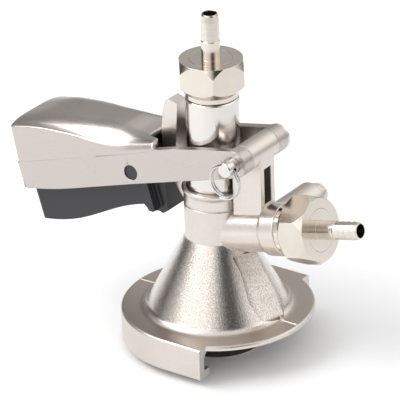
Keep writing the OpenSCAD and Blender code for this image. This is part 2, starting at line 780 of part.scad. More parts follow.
module lever() {
    color("#b8b4b0") in_lever() difference() {
        union() {
            difference() {
                intersection() {
                    across(2 * hood_half) lever_side();
                    linear_extrude(4 * crown_axis, center = true) lever_plan(0, 0, corner_r);
                    crown(0);
                }
                // Inside of the hood and the space between the arms
                intersection() {
                    linear_extrude(4 * crown_axis, center = true) lever_plan(arm_t, end_wall, corner_r / 2);
                    crown(roof_t);
                    across(2 * hood_half) polygon([
                        [-3 * eye_r, -crown_axis], [end_at(-crown_axis) - end_wall, -crown_axis],
                        [end_at(crown_axis) - end_wall, crown_axis], [-3 * eye_r, crown_axis]]);
                }
                // Room for the latch post in the roof's front edge
                translate([0, -front_notch_half, 0]) cube([front_notch_u, 2 * front_notch_half, crown_axis]);
                lever_bevel();
            }
            for (side = [1, -1]) scale([1, side, 1]) translate([0, arm_half, 0]) rotate([90, 0, 0])
                cylinder(r = eye_r, h = arm_half - eye_half);
        }
        rotate([90, 0, 0]) cylinder(r = hinge_pin_r + fit, h = 3 * arm_half, center = true);
        translate([trigger_u, 0, trigger_w]) rotate([90, 0, 0])
            cylinder(r = stub_r + stub_fit, h = 3 * arm_half, center = true);
        // Blind slots that carry the probe's pins
        for (side = [1, -1]) scale([1, side, 1]) {
            for (u = [slot_near, slot_far]) translate([u, arm_half - arm_t + slot_depth, 0]) rotate([90, 0, 0])
                cylinder(r = slot_r, h = slot_depth + over);
            translate([slot_near, arm_half - arm_t - over, -slot_r])
                cube([slot_far - slot_near, slot_depth + over, 2 * slot_r]);
        }
    }
}

function belly(u) = belly_mid + belly_swell * cos(180 * (u - belly_throat_u) / belly_wave);

// The trigger's plan: inset is taken off its sides and end
module trigger_plan(inset) {
    half = trigger_half - inset;
    tail = trigger_tail_u - inset;
    round = trigger_corner;
    front = nose_reach - over;
    side = concat([[front, trigger_front_half - inset], [trigger_u, trigger_front_half - inset]],
        arc([tail - round, half - round], round, 90, 0, 4));
    polygon(concat(side, [for (i = [len(side) - 1:-1:0]) [side[i][0], -side[i][1]]]));
}

module trigger() {
    shell_front = trigger_u - stub_r - trigger_lead;
    wave_end = trigger_tail_u - trigger_tail_step;
    color("#37373a") in_lever() {
        difference() {
            union() {
                intersection() {
                    across(hood_half) polygon(concat(
                        [[shell_front, trigger_top], [shell_front, shell_low],
                         [shell_end_u - shell_slope, shell_low + shell_rise],
                         [shell_end_u, belly(shell_end_u)]],
                        [for (i = [0:belly_points])
                            let (u = belly_throat_u + (wave_end - belly_throat_u) * i / belly_points)
                            [u, belly(u)]],
                        [[wave_end, trigger_step_w], [trigger_tail_u, trigger_step_w + 2 * trigger_tail_step],
                         [trigger_tail_u, trigger_top]]));
                    linear_extrude(4 * crown_axis, center = true) trigger_plan(0);
                }
                // Nose that bears on the latch post
                across(nose_half) polygon(concat(
                    [for (i = [0:len(nose_u_share) - 1])
                        [nose_reach + nose_len * nose_u_share[i], -nose_depth * nose_w_share[i]]],
                    [[belly_throat_u, belly(shell_end_u)], [belly_throat_u, 0],
                     [nose_reach + nose_len * nose_top_share, trigger_top]]));
                // Upright ribs on the nose's sides
                for (i = [0, 1]) across(nose_half + rib_h)
                    translate([nose_reach + rib_first + i * rib_pitch, rib_low]) square([rib_t, rib_len]);
                // Stub axles
                translate([trigger_u, 0, trigger_w]) rotate([90, 0, 0])
                    cylinder(r = stub_r, h = 2 * stub_end, center = true);
            }
            // Hollow behind the pivot
            intersection() {
                across(hood_half) polygon(concat(
                    [for (i = [0:belly_points]) let (u = belly_throat_u + trigger_wall
                        + (trigger_tail_u - 2 * trigger_wall - belly_throat_u) * i / belly_points)
                        [u, belly(u) + trigger_wall]],
                    [[trigger_tail_u - trigger_wall, crown_axis],
                     [belly_throat_u + trigger_wall, crown_axis]]));
                linear_extrude(4 * crown_axis, center = true) trigger_plan(trigger_wall);
            }
        }
        translate([spring_u, 0, belly(spring_u) + trigger_wall / 2])
            cylinder(r = spring_boss_r, h = trigger_wall / 2 + spring_boss_h, $fn = 32);
    }
}

module trigger_spring() {
    low = belly(spring_u) + trigger_wall + 2 * gap + spring_wire / 2;
    high = crown_r(spring_u - spring_r) - roof_t - crown_axis - gap - spring_wire;
    pitch = (high - low) / spring_turns;
    echo(trigger_spring_gap = pitch - spring_wire);
    color("silver") in_lever() translate([spring_u, 0, low])
        swept_tube(coil(spring_r, pitch, spring_turns, 8), spring_wire / 2, 6);
}

module hinge_pin() {
    far = arm_half + pin_washer_t;
    color("gainsboro") difference() {
        translate([hinge_x, 0, hinge_z]) rotate([-90, 0, 0]) rotate_extrude() polygon([[0, pin_near_y],
            [hinge_pin_r - pin_chamfer, pin_near_y], [hinge_pin_r, pin_near_y + pin_chamfer],
            [hinge_pin_r, far], [pin_head_r, far], [pin_head_r, far + pin_head_t - pin_chamfer],
            [pin_head_r - pin_chamfer, far + pin_head_t],
            [0, far + pin_head_t]]);
        translate([hinge_x, ring_y, hinge_z]) rotate([0, 90 + ring_twist, 0])
            cylinder(r = ring_hole_r, h = 4 * hinge_pin_r, center = true, $fn = 48);
    }
}

module pin_washer() {
    color("silver") translate([hinge_x, arm_half, hinge_z]) rotate([-90, 0, 0]) difference() {
        cylinder(r = eye_r, h = pin_washer_t);
        translate([0, 0, -over]) cylinder(r = hinge_pin_r + fit, h = pin_washer_t + 2 * over);
    }
}

// Two turns of wire through the pin's cross hole; the turns stand apart along the pin
module split_ring() {
    drop = ring_r - ring_slack;
    steps = 24;
    path = [for (i = [0:ring_turns * steps]) let (a = 360 * i / steps)
        [ring_r * sin(a), ring_step * (i / steps - ring_turns / 2), -ring_r * cos(a)]];
    echo(split_ring_gap = ring_step - ring_wire);
    color("silver") translate([hinge_x - drop * sin(ring_twist), ring_y, hinge_z - drop * cos(ring_twist)])
        rotate([0, ring_twist, 0]) ring_tube(path, ring_wire / 2, 6);
}

// A tube along a path that winds about Y
module ring_tube(path, r, sides) {
    turned = [for (p = path) [p[0], p[2], p[1]]];
    rotate([90, 0, 0]) mirror([0, 0, 1]) swept_tube(turned, r, sides);
}

coupler_body();
probe();
drive_pins();
probe_orings();
probe_seal();
seal_retainer();
beer_ball();
ball_cage();
beer_washer();
beer_tailpiece();
beer_nut();
gas_check_valve();
gas_washer();
gas_tailpiece();
gas_nut();
relief_seal();
relief_poppet();
relief_spring();
relief_plug();
relief_knob();
lever();
trigger();
trigger_spring();
hinge_pin();
pin_washer();
split_ring();
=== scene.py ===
"""Looks of a sliding keg coupler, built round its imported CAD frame. Metres, the frame's own axes."""

import json
import math

import bmesh
import bpy
from mathutils import Matrix, Vector


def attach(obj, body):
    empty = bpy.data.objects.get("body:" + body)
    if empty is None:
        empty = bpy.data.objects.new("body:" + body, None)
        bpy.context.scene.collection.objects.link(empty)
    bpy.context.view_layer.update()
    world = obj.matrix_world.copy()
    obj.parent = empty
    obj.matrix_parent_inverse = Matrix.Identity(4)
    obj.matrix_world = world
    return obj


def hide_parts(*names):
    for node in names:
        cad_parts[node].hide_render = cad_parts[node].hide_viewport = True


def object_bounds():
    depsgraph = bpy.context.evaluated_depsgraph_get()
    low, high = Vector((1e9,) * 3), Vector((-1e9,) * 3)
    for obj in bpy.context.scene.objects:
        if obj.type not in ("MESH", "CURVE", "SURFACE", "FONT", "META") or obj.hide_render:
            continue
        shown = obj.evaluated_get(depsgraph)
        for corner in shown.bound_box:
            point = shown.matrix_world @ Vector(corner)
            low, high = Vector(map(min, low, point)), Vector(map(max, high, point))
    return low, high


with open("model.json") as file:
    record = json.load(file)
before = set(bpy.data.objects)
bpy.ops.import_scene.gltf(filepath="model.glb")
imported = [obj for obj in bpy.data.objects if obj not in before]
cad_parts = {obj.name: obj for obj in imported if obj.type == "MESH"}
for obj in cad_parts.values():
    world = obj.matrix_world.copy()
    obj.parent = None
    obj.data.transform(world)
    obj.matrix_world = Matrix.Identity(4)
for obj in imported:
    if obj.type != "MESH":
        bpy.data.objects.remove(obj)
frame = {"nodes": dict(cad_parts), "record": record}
CAD_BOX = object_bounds()
NODES = frame["nodes"]
MOUNTS = {m["name"]: m for m in frame["record"]["mounts"]}
JOINTS = {j["name"]: j for j in frame["record"]["behaviour"]["joints"]}

# Camera, fitted to the photograph's edges and circles
CAMERA_AZIMUTH = math.radians(35.69)
CAMERA_ELEVATION = math.radians(25.72)
CAMERA_ROLL = math.radians(1.83)
CAMERA_DISTANCE = 1.67
CAMERA_CLIP = (0.1, 20)                # near and far
LENS = 328.8
SENSOR = 36.0
IMAGE_SIZE = 400
ANCHOR = Vector((0, 0, 0.07886))       # this point of the object
ANCHOR_PIXEL = (214.39, 178.34)        # lies at this pixel


def camera_axes():
    """Right, up and backward directions of the camera."""
    az, el, roll = CAMERA_AZIMUTH, CAMERA_ELEVATION, CAMERA_ROLL
    back = Vector((math.sin(az) * math.cos(el), -math.cos(az) * math.cos(el), math.sin(el)))
    level = Vector((math.cos(az), math.sin(az), 0))
    rise = back.cross(level)
    right = level * math.cos(roll) - rise * math.sin(roll)
    up = rise * math.cos(roll) + level * math.sin(roll)
    return right, up, back


def make_camera():
    right, up, back = camera_axes()
    pixel = CAMERA_DISTANCE * SENSOR / LENS / IMAGE_SIZE
    across, down = (IMAGE_SIZE / 2 - at for at in ANCHOR_PIXEL)
    aim = ANCHOR + right * pixel * across - up * pixel * down
    data = bpy.data.cameras.new("camera")
    data.lens = LENS
    data.sensor_width = SENSOR
    data.clip_start, data.clip_end = CAMERA_CLIP
    camera = bpy.data.objects.new("camera", data)
    turn = Matrix((right, up, back)).transposed().to_4x4()
    camera.matrix_world = Matrix.Translation(aim + back * CAMERA_DISTANCE) @ turn
    bpy.context.scene.collection.objects.link(camera)
    bpy.context.scene.camera = camera


class Graph:
    """A small builder for one tree of shader nodes."""

    def __init__(self, tree, coordinates):
        self.nodes = tree.nodes
        self.links = tree.links
        self.place = self.add("ShaderNodeTexCoord").outputs[coordinates]

    def feed(self, value, socket):
        """Give a socket a link or a plain value."""
        if isinstance(value, bpy.types.NodeSocket):
            self.links.new(value, socket)
        else:
            socket.default_value = value

    def add(self, kind, inputs=None, **settings):
        node = self.nodes.new(kind)
        for key, value in settings.items():
            setattr(node, key, value)
        for key, value in (inputs or {}).items():
            self.feed(value, node.inputs[key])
        return node

    def calc(self, operation, a, b=0.0):
        return self.add("ShaderNodeMath", {0: a, 1: b}, operation=operation).outputs["Value"]

    def vector(self, operation, a, b, output="Vector"):
        return self.add("ShaderNodeVectorMath", {0: a, 1: b}, operation=operation).outputs[output]

    def split(self, vector):
        """The X, Y and Z of a vector."""
        return tuple(self.add("ShaderNodeSeparateXYZ", {"Vector": vector}).outputs)

    def spread(self, value, span, result=(0.0, 1.0)):
        """Map one range to another and clamp."""
        return self.add("ShaderNodeMapRange", {"Value": value, "From Min": span[0], "From Max": span[1],
                                               "To Min": result[0], "To Max": result[1]}).outputs["Result"]

    def mix(self, factor, a, b):
        """A colour between a and b. The node's inputs 6 and 7 and output 2 are its colours."""
        return self.add("ShaderNodeMix", {0: factor, 6: a, 7: b}, data_type="RGBA").outputs[2]


class Shader(Graph):
    """A procedural material."""

    def __init__(self, name, metallic):
        self.material = bpy.data.materials.new(name)
        self.material.use_nodes = True
        super().__init__(self.material.node_tree, "Object")
        self.bsdf = self.nodes["Principled BSDF"]
        self.give("Metallic", metallic)

    def give(self, socket, value):
        self.feed(value, self.bsdf.inputs[socket])

    def noise(self, scale, detail=3.0, rough=0.55, place=None):
        return self.add("ShaderNodeTexNoise", {"Vector": place or self.place, "Scale": scale,
                                               "Detail": detail, "Roughness": rough}).outputs["Fac"]

    def rounded(self, radius):
        """Normals that soften every edge, for the bump nodes to build on."""
        return self.add("ShaderNodeBevel", {"Radius": radius}, samples=BEVEL_SAMPLES).outputs["Normal"]

    def bump(self, height, depth, below=None):
        inputs = {"Height": height, "Distance": depth, "Strength": 1.0}
        if below is not None:
            inputs["Normal"] = below
        normal = self.add("ShaderNodeBump", inputs).outputs["Normal"]
        self.give("Normal", normal)
        return normal


def rgb(r, g, b):
    """A colour from 0 to 255 display values."""
    def linear(v):
        v /= 255
        return v / 12.92 if v <= 0.04045 else ((v + 0.055) / 1.055) ** 2.4
    return (linear(r), linear(g), linear(b), 1)


def shade(colour, factor):
    return tuple(min(1, c * factor) for c in colour[:3]) + (1,)


EDGE = 0.0003                          # radius that softens a usual edge
BEVEL_SAMPLES = 6
NOISE_SPAN = (0.3, 0.7)                # most of a noise's values
SUM_SPAN = (0.6, 1.4)                  # and of two noises added

METAL_CLOUD = 45.0                     # scale of the slow change of colour
METAL_DARK, METAL_LIGHT = 0.94, 1.03
METAL_ROUGH = (0.8, 1.25)              # shares of the stated roughness

PLASTIC_CLOUD = 60.0
PLASTIC_DARK = 0.85
PLASTIC_ROUGH = (0.9, 1.1)

TURNED_CLOUD = 70.0
TURNED_COLOURS = rgb(206, 198, 188), rgb(230, 222, 212)
TURNED_ROUGH = (0.1, 0.19)
TURNING_PITCH = 0.0009                 # from one ring of the turning to the next
TURNING_DEPTH = 0.0000035
TURNING_WANDER = (2600.0, 2.0)         # scale and strength of what breaks up the rings
BEER_ABOVE = 0.11                      # the beer outlet's pieces lie above this height

CAST_CLOUD = 40.0
CAST_GRAIN, CAST_GRAIN_DEPTH = 1500.0, 0.000014
CAST_EDGE = 0.0005
CAST_COLOURS = rgb(208, 200, 193), rgb(226, 219, 213)
CAST_ROUGH = (0.27, 0.35)
BLAST_STARTS = (0.0162, 0.0185)        # heights over which the cone's blasting fades in
BLAST_ENDS = (0.048, 0.0515)           # and out
BLAST_HEIGHTS = (0.0156, 0.0514)       # at these heights
BLAST_RADII = (0.0385, 0.0175)         # it reaches out to these radii
BLAST_COLOURS = rgb(196, 188, 182), rgb(236, 230, 224)
BLAST_SAND, BLAST_DEPTH = 2100.0, 0.00007
BLAST_SPAN = (0.38, 0.62)              # the sand's values over which the colour changes
BLAST_SHARPER = 0.12                   # less roughness, so that the blasting sparkles
FLANGE_BELOW = 0.0175                  # the flange's top is what faces up below this height
FACING_UP = 0.93                       # the normal's height from which a face counts as facing up
# Painted shade: a darker colour for the flange's up-facing top, standing in for the shade seen on it
FLANGE_PAINTED_SHADE = rgb(196, 186, 178)
FLANGE_DULLER = 0.1


def metal(name, colour, rough, grain, depth, edge=EDGE, direction=(1, 1, 1)):
    """A metal with a fine grain, drawn out where direction is small. No edge leaves it sharp."""
    s = Shader(name, 1.0)
    cloud = s.noise(METAL_CLOUD)
    s.give("Base Color", s.mix(cloud, shade(colour, METAL_DARK), shade(colour, METAL_LIGHT)))
    fine = s.noise(grain, detail=2.0, rough=0.6, place=s.vector("MULTIPLY", s.place, direction))
    result = [rough * share for share in METAL_ROUGH]
    s.give("Roughness", s.spread(s.calc("ADD", cloud, fine), SUM_SPAN, result))
    s.bump(fine, depth, s.rounded(edge) if edge else None)
    return s.material


def plastic(name, colour, rough, grain, depth):
    s = Shader(name, 0.0)
    s.give("Base Color", s.mix(s.noise(PLASTIC_CLOUD), shade(colour, PLASTIC_DARK), colour))
    fine = s.noise(grain, detail=2.0)
    s.give("Roughness", s.spread(fine, NOISE_SPAN, [rough * share for share in PLASTIC_ROUGH]))
    s.bump(fine, depth, s.rounded(EDGE))
    return s.material


def about_axis(s, mount):
    """How far a point lies from a mount's axis."""
    out = s.vector("SUBTRACT", s.place, mount["pos_m"])
    along = s.vector("DOT_PRODUCT", out, mount["axis"], "Value")
    length = s.add("ShaderNodeVectorMath", {0: out}, operation="LENGTH").outputs["Value"]
    return s.calc("SQRT", s.calc("SUBTRACT", s.calc("POWER", length, 2.0), s.calc("POWER", along, 2.0)))


def turned_nickel():
    """Bright nickel with the fine rings of turning about each outlet's axis."""
    s = Shader("polished_nickel", 1.0)
    beer, gas = (about_axis(s, MOUNTS[name]) for name in ("beer_tail", "gas_tail"))
    height = s.split(s.place)[2]
    upper = s.calc("GREATER_THAN", height, BEER_ABOVE)
    lower = s.calc("SUBTRACT", 1.0, upper)
    radius = s.calc("ADD", s.calc("MULTIPLY", beer, upper), s.calc("MULTIPLY", gas, lower))
    rings = s.calc("SINE", s.calc("MULTIPLY", radius, 2 * math.pi / TURNING_PITCH))
    scale, strength = TURNING_WANDER
    wander = s.calc("MULTIPLY", s.noise(scale, detail=2.0), strength)
    cloud = s.noise(TURNED_CLOUD)
    s.give("Base Color", s.mix(cloud, *TURNED_COLOURS))
    s.give("Roughness", s.spread(cloud, NOISE_SPAN, TURNED_ROUGH))
    s.bump(s.calc("ADD", rings, wander), TURNING_DEPTH, s.rounded(EDGE))
    return s.material


def cast_body():
    """Satin nickel: blasted and sparkling on the cone, smooth on the skirt's side, matt on the flange's top,
    which also takes a darker colour as painted shade.
    """
    s = Shader("satin_nickel", 1.0)
    x, y, z = s.split(s.place)
    radius = s.calc("SQRT", s.calc("ADD", s.calc("POWER", x, 2.0), s.calc("POWER", y, 2.0)))
    on_cone = s.calc("LESS_THAN", radius, s.spread(z, BLAST_HEIGHTS, BLAST_RADII))
    between = s.calc("MULTIPLY", s.spread(z, BLAST_STARTS), s.spread(z, BLAST_ENDS, (1.0, 0.0)))
    blasted = s.calc("MULTIPLY", between, on_cone)
    facing = s.split(s.add("ShaderNodeNewGeometry").outputs["Normal"])[2]
    flange = s.calc("MULTIPLY", s.calc("GREATER_THAN", facing, FACING_UP),
                    s.calc("LESS_THAN", z, FLANGE_BELOW))
    grain = s.noise(CAST_GRAIN, detail=2.0, rough=0.6)
    sand = s.noise(BLAST_SAND, detail=1.5, rough=0.7)
    satin = s.mix(s.noise(CAST_CLOUD), *CAST_COLOURS)
    sparkling = s.mix(s.spread(sand, BLAST_SPAN), *BLAST_COLOURS)
    # The flange's up-facing top gets the darker colour as painted shade; its added roughness is a real matt
    # finish
    s.give("Base Color", s.mix(flange, s.mix(blasted, satin, sparkling), FLANGE_PAINTED_SHADE))
    rough = s.calc("ADD", s.spread(grain, NOISE_SPAN, CAST_ROUGH), s.calc("MULTIPLY", flange, FLANGE_DULLER))
    s.give("Roughness", s.calc("SUBTRACT", rough, s.calc("MULTIPLY", blasted, BLAST_SHARPER)))
    soft = s.bump(grain, CAST_GRAIN_DEPTH, s.rounded(CAST_EDGE))
    s.bump(sand, s.calc("MULTIPLY", blasted, BLAST_DEPTH), soft)
    return s.material


STEEL = {"colour": rgb(196, 189, 184), "rough": 0.3, "grain": 900, "depth": 0.00002, "direction": (0.12, 1, 1)}
METALS = {
    "polished_steel": {"colour": rgb(222, 218, 214), "rough": 0.16, "grain": 900, "depth": 0.000004,
                       "direction": (0.1, 0.1, 1)},
    "brushed_steel": {**STEEL, "edge": 2 * EDGE},
    "hood_steel": {**STEEL, "edge": 0},
    "spring_steel": {"colour": rgb(214, 212, 210), "rough": 0.2, "grain": 800, "depth": 0.000003},
    "brass": {"colour": rgb(214, 180, 110), "rough": 0.25, "grain": 800, "depth": 0.000006},
}
PLASTICS = {
    "dark_plastic": {"colour": rgb(48, 48, 51), "rough": 0.45, "grain": 2200, "depth": 0.00003},
    "black_rubber": {"colour": rgb(38, 38, 40), "rough": 0.55, "grain": 1500, "depth": 0.00002},
    "white_rubber": {"colour": rgb(236, 240, 246), "rough": 0.35, "grain": 900, "depth": 0.00001},
    "white_plastic": {"colour": rgb(238, 238, 236), "rough": 0.3, "grain": 900, "depth": 0.00001},
    "red_plastic": {"colour": rgb(222, 36, 40), "rough": 0.3, "grain": 900, "depth": 0.00001},
}


def make_materials():
    materials = {"satin_nickel": cast_body(), "polished_nickel": turned_nickel()}
    for name, values in METALS.items():
        materials[name] = metal(name, **values)
    for name, values in PLASTICS.items():
        materials[name] = plastic(name, **values)
    return materials


def dress_nodes(materials):
    slots = {p["node"]: p["material_slot"] for p in frame["record"]["subparts"]}
    for name, obj in NODES.items():
        obj.data.materials.clear()
        obj.data.materials.append(materials[slots[name]])


def new_piece(name, mesh, material, body):
    """An object from a bmesh, on its body and in its slot."""
    bmesh.ops.recalc_face_normals(mesh, faces=mesh.faces)
    data = bpy.data.meshes.new(name)
    mesh.to_mesh(data)
    mesh.free()
    data.materials.append(material)
    piece = bpy.data.objects.new(name, data)
    bpy.context.scene.collection.objects.link(piece)
    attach(piece, body)
    return piece


def bridge(mesh, rows, closed):
    """Quads between neighbouring rows of points, each row a ring where closed."""
    for a, b in zip(rows, rows[1:]):
        for k in range(len(a) if closed else len(a) - 1):
            j = (k + 1) % len(a)
            mesh.faces.new((a[k], a[j], b[j], b[k]))


# The keel under the gas outlet: its crest in X and Z, in the plane KEEL_Y
KEEL_CREST = ((0.0212, 0.0463), (0.0238, 0.0395), (0.0272, 0.0339), (0.0312, 0.0274), (0.0358, 0.0166))
KEEL_Y = 0.002
KEEL_FAR = math.radians(15)            # where its far side meets the cone
KEEL_INSIDE = 0.0006                   # how far its foot lies under the cone's surface
KEEL_CORE = 0.0024                     # and its innermost edge
KEEL_LEAD = math.radians(5)            # how far its near side runs on under the surface
KEEL_ROWS = 28
KEEL_SIDE = 5                          # steps down each side
CONE_LOW = (0.0341, 0.0156)            # the cone's radius and height at its foot
CONE_HIGH = (0.0144, 0.0514)           # and at the neck


def polar(radius, turn, z):
    return Vector((radius * math.cos(turn), radius * math.sin(turn), z))


def keel_row(x, z):
    """The keel's section at one point of its crest, from the near side over the crest to the core."""
    share = (z - CONE_LOW[1]) / (CONE_HIGH[1] - CONE_LOW[1])
    radius = CONE_LOW[0] + (CONE_HIGH[0] - CONE_LOW[0]) * share
    crest = Vector((x, KEEL_Y, z))
    turn = math.atan2(KEEL_Y, x)
    near_turn = turn - math.acos(min(1, radius / math.hypot(x, KEEL_Y)))
    near = polar(radius, near_turn, z)
    far = polar(radius - KEEL_INSIDE, turn + KEEL_FAR, z)
    line = [polar(radius - KEEL_INSIDE, near_turn - KEEL_LEAD, z)]
    line += [near.lerp(crest, i / KEEL_SIDE) for i in range(KEEL_SIDE)]
    for i in range(KEEL_SIDE + 1):
        sag = math.sin(math.pi * i / KEEL_SIDE) * KEEL_INSIDE
        line.append(crest.lerp(far, i / KEEL_SIDE) - Vector((sag, 0, 0)))
    line.append(polar(radius - KEEL_CORE, turn, z))
    return line


def make_keel(material):
    """The cast keel from the gas outlet to the flange: flat to the crest on the near side, steep beyond."""
    mesh = bmesh.new()
    rows = []
    for row in range(KEEL_ROWS + 1):
        t = row / KEEL_ROWS * (len(KEEL_CREST) - 1)
        k = min(int(t), len(KEEL_CREST) - 2)
        x, z = (a + (b - a) * (t - k) for a, b in zip(KEEL_CREST[k], KEEL_CREST[k + 1]))
        rows.append([mesh.verts.new(v) for v in keel_row(x, z)])
    bridge(mesh, rows, closed=True)
    mesh.faces.new(rows[0])
    mesh.faces.new(rows[-1])
    per_row, crest_at = len(rows[0]), KEEL_SIDE + 1
    keel = new_piece("keel", mesh, material, "coupler")
    for face in keel.data.polygons:
        face.use_smooth = True
    for edge in keel.data.edges:
        if all(v % per_row == crest_at for v in edge.vertices):
            edge.use_edge_sharp = True


# The lever in its own plane, in millimetres: u runs from the hinge to the end, w up, y across
MM = 0.001
DROOP = math.radians(16.5)             # how far u falls below the level at rest
ARM_HALF, END_HALF = 17.3, 20.0        # half widths before WIDEN_U and at the end
WIDEN_U, LEVER_END = 60.4, 126.0
END_RAKE = 2.5 / 30.2                  # how the end leans, per millimetre of height
END_FOOT_W = -4.0
ARM_CUT = ((41, 9.5), (60, 8.5), (140, 8.5))      # the solid lever is cut off above this line
CUT_TOP, CUT_HALF = 60, 30             # how high and how far to each side the cut goes

# The hood that takes the place of what is cut off
HOOD_FRONT = 43.0
HOOD_CORNER = 3.0                      # radius of the edges round its end
HOOD_THICK = 2.6
SKIN = 0.04                            # how far its side stands proud of the arm
FOOT_LAP = 0.3                         # how far it reaches down over the cut
SEAM_U = 80.0                          # behind this it reaches down to the lever's lower edge
ARM_LOW, TAIL_RISE, RISE_U = -6.4, 2.4, 97.0      # that edge, and its rise from RISE_U to the end
CREASE = ((43, 12.7), (52, 12.9), (60, 13.2), (68, 14.2), (77, 16.2), (91, 20.6), (109, 24.9), (126, 26.9))
RIDGE = ((43, 13.2), (52, 15.6), (60, 18.4), (70, 21.2), (78, 23.0), (90, 25.6), (100, 27.4), (110, 28.6),
         (126, 28.4))
CROWN_POWER = 4                        # how flat the roof is before it falls to the crease
BAND_FRONT, BAND_REAR = (2.1, 4.0), (0.9, 1.0)    # width and height of the crease's rounding
BAND_FADE = (62, 90)                   # from the one to the other
BAND_SHARE = 0.8                       # of the side's height, at most
FRONT_FLATTER = 0.45                   # the front's rounding is this much nearer to a chamfer
CORNER_DROP = 0.15                     # how far the roof sinks at the end, as a share of that radius
DROP_FROM, DROP_SPAN = 12, 16          # the height where the sinking starts, and over which it grows full
NOTCH_DEEP = 9.0                       # how far the roof's front edge draws back behind the latch post
NOTCH_HALF, NOTCH_SIDE = 6.0, 13.0     # half widths of the notch at its bottom and its mouth
NOTCH_FADE = 22.0                      # how far behind the front the drawing back ends
HOOD_ROWS, CORNER_ROWS = 44, 7         # sections along it and round its end
SIDE_STEPS, BAND_STEPS, CROWN_STEPS = 4, 6, 10    # points up the side, round the crease and over the roof


def smooth(t):
    """From 0 to 1 with a soft start and end."""
    t = min(1, max(0, t))
    return t * t * (3 - 2 * t)


def read_line(line, u):
    """The height at u on a smooth curve through the points of a line."""
    last = len(line) - 1
    k = max(i for i in range(last) if line[i][0] <= u or i == 0)
    (ua, wa), (ub, wb), (uc, wc), (ud, wd) = (line[min(last, max(0, k + j))] for j in (-1, 0, 1, 2))
    span = uc - ub
    t = min(1, max(0, (u - ub) / span))
    slope_b = (wc - wa) / (uc - ua)
    slope_c = (wd - wb) / (ud - ub)
    return ((2 * t ** 3 - 3 * t ** 2 + 1) * wb + (t ** 3 - 2 * t ** 2 + t) * span * slope_b
            + (3 * t ** 2 - 2 * t ** 3) * wc + (t ** 3 - t ** 2) * span * slope_c)


def lever_place(u, y, w):
    """A point of the lever's plane in the frame's axes."""
    hinge = JOINTS["lever_hinge"]["pos_m"]
    return Vector((hinge[0] - (u * math.cos(DROOP) + w * math.sin(DROOP)) * MM, y * MM,
                   hinge[2] + (w * math.cos(DROOP) - u * math.sin(DROOP)) * MM))


def hood_section(u, inset):
    """Half of the hood's section, from its foot over the crease to the ridge, as y and w."""
    widening = (END_HALF - ARM_HALF) * max(0, u - WIDEN_U) / (LEVER_END - WIDEN_U)
    half = ARM_HALF + widening + SKIN - inset
    fade = smooth((u - BAND_FADE[0]) / (BAND_FADE[1] - BAND_FADE[0]))
    wide, high = (front + (rear - front) * fade for front, rear in zip(BAND_FRONT, BAND_REAR))
    crease = read_line(CREASE, u)
    ridge = read_line(RIDGE, u)
    foot = read_line(ARM_CUT, u) - FOOT_LAP
    if u > SEAM_U:
        foot = ARM_LOW + TAIL_RISE * (max(0, u - RISE_U) / (LEVER_END - RISE_U)) ** 2
    high = min(high, (crease - foot) * BAND_SHARE)

    points = [(half, foot + (crease - high - foot) * i / SIDE_STEPS) for i in range(SIDE_STEPS)]
    rounding = 1 - FRONT_FLATTER * (1 - fade)
    for i in range(BAND_STEPS + 1):
        share = i / BAND_STEPS
        turn = math.pi / 2 * share
        in_y = share + (1 - math.cos(turn) - share) * rounding
        up_w = share + (math.sin(turn) - share) * rounding
        points.append((half - wide * in_y, crease - high + high * up_w))
    edge = half - wide
    for i in range(1, CROWN_STEPS + 1):
        out = 1 - i / CROWN_STEPS
        points.append((edge * out, ridge - (ridge - crease) * out ** CROWN_POWER))
    return points


def hood_row(u, inset):
    """The hood's whole section as points in the frame: raked towards the end, notched at the front."""
    half = hood_section(u, inset)
    along = (u - HOOD_FRONT) / (LEVER_END - HOOD_FRONT)
    near_front = max(0, 1 - (u - HOOD_FRONT) / NOTCH_FADE)
    row = []
    for y, w in half + [(-y, w) for y, w in reversed(half[:-1])]:
        w -= inset * CORNER_DROP * max(0, (w - DROP_FROM) / DROP_SPAN)
        lean = (w - END_FOOT_W) * END_RAKE * along
        beside = smooth((abs(y) - NOTCH_HALF) / (NOTCH_SIDE - NOTCH_HALF))
        notch = NOTCH_DEEP * (1 - beside) * near_front
        row.append(lever_place(u - lean + notch, y, w))
    return row


def make_hood(material):
    """A lofted shell with the photograph's crown and rounded edge."""
    run = LEVER_END - HOOD_CORNER - HOOD_FRONT
    stations = [(HOOD_FRONT + run * i / HOOD_ROWS, 0) for i in range(HOOD_ROWS)]
    for i in range(CORNER_ROWS + 1):
        turn = math.pi / 2 * i / CORNER_ROWS
        stations.append((LEVER_END - HOOD_CORNER * (1 - math.sin(turn)), HOOD_CORNER * (1 - math.cos(turn))))
    mesh = bmesh.new()
    rows = [[mesh.verts.new(point) for point in hood_row(u, inset)] for u, inset in stations]
    bridge(mesh, rows, closed=False)
    mesh.faces.new(rows[-1])
    hood = new_piece("lever_hood", mesh, material, "lever_group")
    for face in hood.data.polygons:
        face.use_smooth = len(face.vertices) == 4
    solid = hood.modifiers.new("thick", "SOLIDIFY")
    solid.thickness = HOOD_THICK * MM
    solid.offset = -1


def make_cutter():
    """A prism over ARM_CUT, wider than the lever."""
    outline = list(ARM_CUT) + [(ARM_CUT[-1][0], CUT_TOP), (ARM_CUT[0][0], CUT_TOP)]
    mesh = bmesh.new()
    rows = [[mesh.verts.new(lever_place(u, y, w)) for u, w in outline] for y in (-CUT_HALF, CUT_HALF)]
    bridge(mesh, rows, closed=True)
    mesh.faces.new(rows[0])
    mesh.faces.new(rows[1])
    bmesh.ops.recalc_face_normals(mesh, faces=mesh.faces)
    data = bpy.data.meshes.new("cutter")
    mesh.to_mesh(data)
    mesh.free()
    cutter = bpy.data.objects.new("cutter", data)
    bpy.context.scene.collection.objects.link(cutter)
    return cutter


